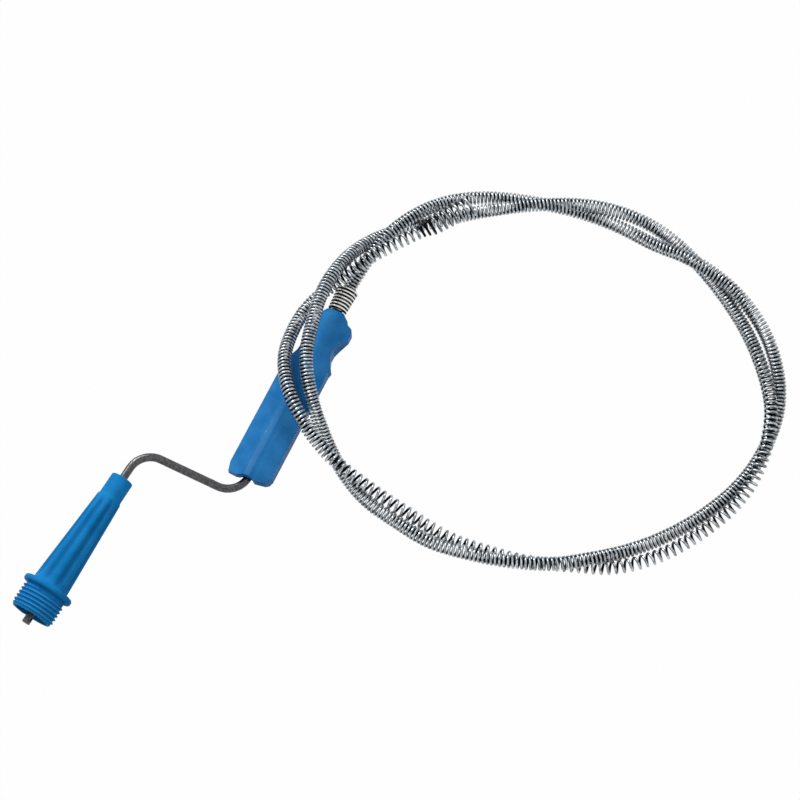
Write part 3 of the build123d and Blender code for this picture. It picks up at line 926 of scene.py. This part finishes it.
def taper_radius(along):
    share = (along - TAPER_START) / (TAPER_END - TAPER_START)
    return TAPER_NARROW + (TAPER_WIDE - TAPER_NARROW) * share


rows = [TAPER_START + (TAPER_END - TAPER_START) * i / TAPER_ROWS for i in range(TAPER_ROWS + 1)]
taper = [(taper_radius(along), along) for along in rows]
# Down the outside, over the flange and the collar, and back up the hollow round the rod's hub.
PROFILE = [
    (2.75, 20.6), (6.2, 20.6), (6.7, 20.8), (7.0, 21.4), (7.05, 33.4), (7.15, 34.4), (7.5, 35.1),
    *taper,
    (11.5, 97.4), (12.4, 97.6), (14.4, 97.7), (15.2, 98.0), (15.65, 98.7), (15.75, 99.6),
    (15.6, 100.5), (15.1, 101.1), (14.2, 101.4), (12.8, 101.5), (12.55, 101.8), (12.55, 116.6),
    (12.2, 117.1), (10.9, 117.1), (10.5, 116.8), (10.4, 101), (8.2, 95), (5.7, 52), (5.2, 50.6),
    (4.4, 50.6), (4.4, 112.7), (4.0, 113.1), (2.75, 113.1),
]

# %% Spin the profile
def spun(profile, steps):
    """A closed skin of revolution about the local Z from a closed line of radius and distance."""
    work = bmesh.new()
    corners = [work.verts.new((radius * MM, 0, along * MM)) for radius, along in profile]
    for first, second in zip(corners, corners[1:] + corners[:1]):
        work.edges.new((first, second))
    bmesh.ops.spin(
        work, geom=work.verts[:] + work.edges[:], cent=(0, 0, 0), axis=(0, 0, 1),
        angle=math.tau, steps=steps, use_merge=True,
    )
    bmesh.ops.remove_doubles(work, verts=work.verts, dist=0.0005 * MM)
    bmesh.ops.recalc_face_normals(work, faces=work.faces)
    return work


# %% The valleys
FLUTES = 8
FLUTE_DEPTH = 1.2 * MM
FLUTE_TURN = math.radians(10)
FLUTE_SHARE = 0.42  # half the valley's width, as a share of the way to the next one
SKIN_SLACK = 0.35 * MM  # a point this little inside the taper still counts as its outside


def press_flute(vertex, hollow):
    """Moves a point of the taper's outside towards the handle's line if it is in a valley, and
    notes how deep it went in the attribute hollow."""
    radius = math.hypot(vertex.co.x, vertex.co.y)
    along = vertex.co.z / MM
    if not TAPER_START - 0.6 < along < TAPER_END + 0.5 or radius > 12 * MM:
        return
    if radius < taper_radius(along) * MM - SKIN_SLACK:
        return
    turn = (math.atan2(vertex.co.y, vertex.co.x) - FLUTE_TURN) / math.tau * FLUTES
    off = abs(turn - round(turn)) / FLUTE_SHARE
    if off < 1:
        ends = ease(along, TAPER_START - 1, TAPER_START + 5) * (1 - ease(along, 93, 97.5))
        depth = FLUTE_DEPTH * (0.5 + 0.5 * math.cos(math.pi * off)) * ends
        vertex.co.x *= 1 - depth / radius
        vertex.co.y *= 1 - depth / radius
        vertex[hollow] = depth / FLUTE_DEPTH


HANDLE_STEPS = 128  # a whole number for each valley
shell = spun(PROFILE, HANDLE_STEPS)
hollow = shell.verts.layers.float.new("hollow")
for vertex in shell.verts:
    press_flute(vertex, hollow)
shell.transform(to_place)
handle = smooth_piece(shell, "fluted_handle", handle_blue, 40)
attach(handle, "handle")
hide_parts("crank_handle")
print("handle:", len(handle.data.polygons), "faces")

# %% [markdown]
# ## The collar's thread
#
# The thread is one rounded rib that runs round the collar as a screw. Spin can climb while it
# turns: it takes a small step along the line with each step of angle, so the rib's section is
# all that has to be drawn. Both ends sink into the collar, as a moulded thread does.

# %% The thread
THREAD_START = 102.4
THREAD_PITCH = 2.4
THREAD_TURNS = 5.4
THREAD_STEPS = 64  # for each turn
THREAD_FOOT = 12.3  # inside the collar's skin
THREAD_HIGHLIGHT = 13.2  # the rib gets a painted highlight from here outwards, over 0.4 mm
# The rib's section, as radius and distance along the collar.
RIB = [
    (THREAD_FOOT, 0), (12.75, 0.2), (13.3, 0.6), (13.65, 0.85),
    (13.65, 1.05), (13.3, 1.3), (12.75, 1.7), (THREAD_FOOT, 1.9),
]

rib = bmesh.new()
section = [rib.verts.new((radius * MM, 0, (THREAD_START + along) * MM)) for radius, along in RIB]
face = rib.faces.new(section)
bmesh.ops.spin(
    rib, geom=[face, *face.edges, *face.verts], cent=(0, 0, 0), axis=(0, 0, 1),
    dvec=(0, 0, THREAD_PITCH * MM / THREAD_STEPS),
    angle=math.tau * THREAD_TURNS, steps=round(THREAD_TURNS * THREAD_STEPS),
)
for vertex in rib.verts:
    climbed = (vertex.co.z / MM - THREAD_START) / THREAD_PITCH
    near_end = min(climbed, THREAD_TURNS + 0.5 - climbed)
    sink = 1 - ease(near_end, 0.1, 0.55)
    radius = math.hypot(vertex.co.x, vertex.co.y)
    wanted = radius + (THREAD_FOOT * MM - radius) * sink
    vertex.co.x *= wanted / radius
    vertex.co.y *= wanted / radius
bmesh.ops.recalc_face_normals(rib, faces=rib.faces)
thread_mesh = mesh_from(rib, "collar_thread")
# crown places a painted highlight along the rib's crest
crown = thread_mesh.attributes.new("crown", "FLOAT", "POINT")
for vertex in thread_mesh.vertices:
    out = math.hypot(vertex.co.x, vertex.co.y)
    crown.data[vertex.index].value = min(max((out - THREAD_HIGHLIGHT * MM) / (0.4 * MM), 0), 1)
thread_mesh.transform(to_place)
thread_mesh.polygons.foreach_set("use_smooth", [True] * len(thread_mesh.polygons))
thread_mesh.materials.append(handle_blue)
thread = new_object("collar_thread", thread_mesh)
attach(thread, "handle")
print("thread:", len(thread_mesh.polygons), "faces")

# %% [markdown]
# ## Joining the pieces to the frame
#
# The pieces above already ride on the bodies that carry them. The cable and its tip are held by
# the grip.

# %% The cable rides on the grip
for wound in (cable_coil, tip_coil):
    wound.data.materials.append(spring_wire)
    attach(wound, "grip")
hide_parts("cable")
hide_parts("auger_tip")
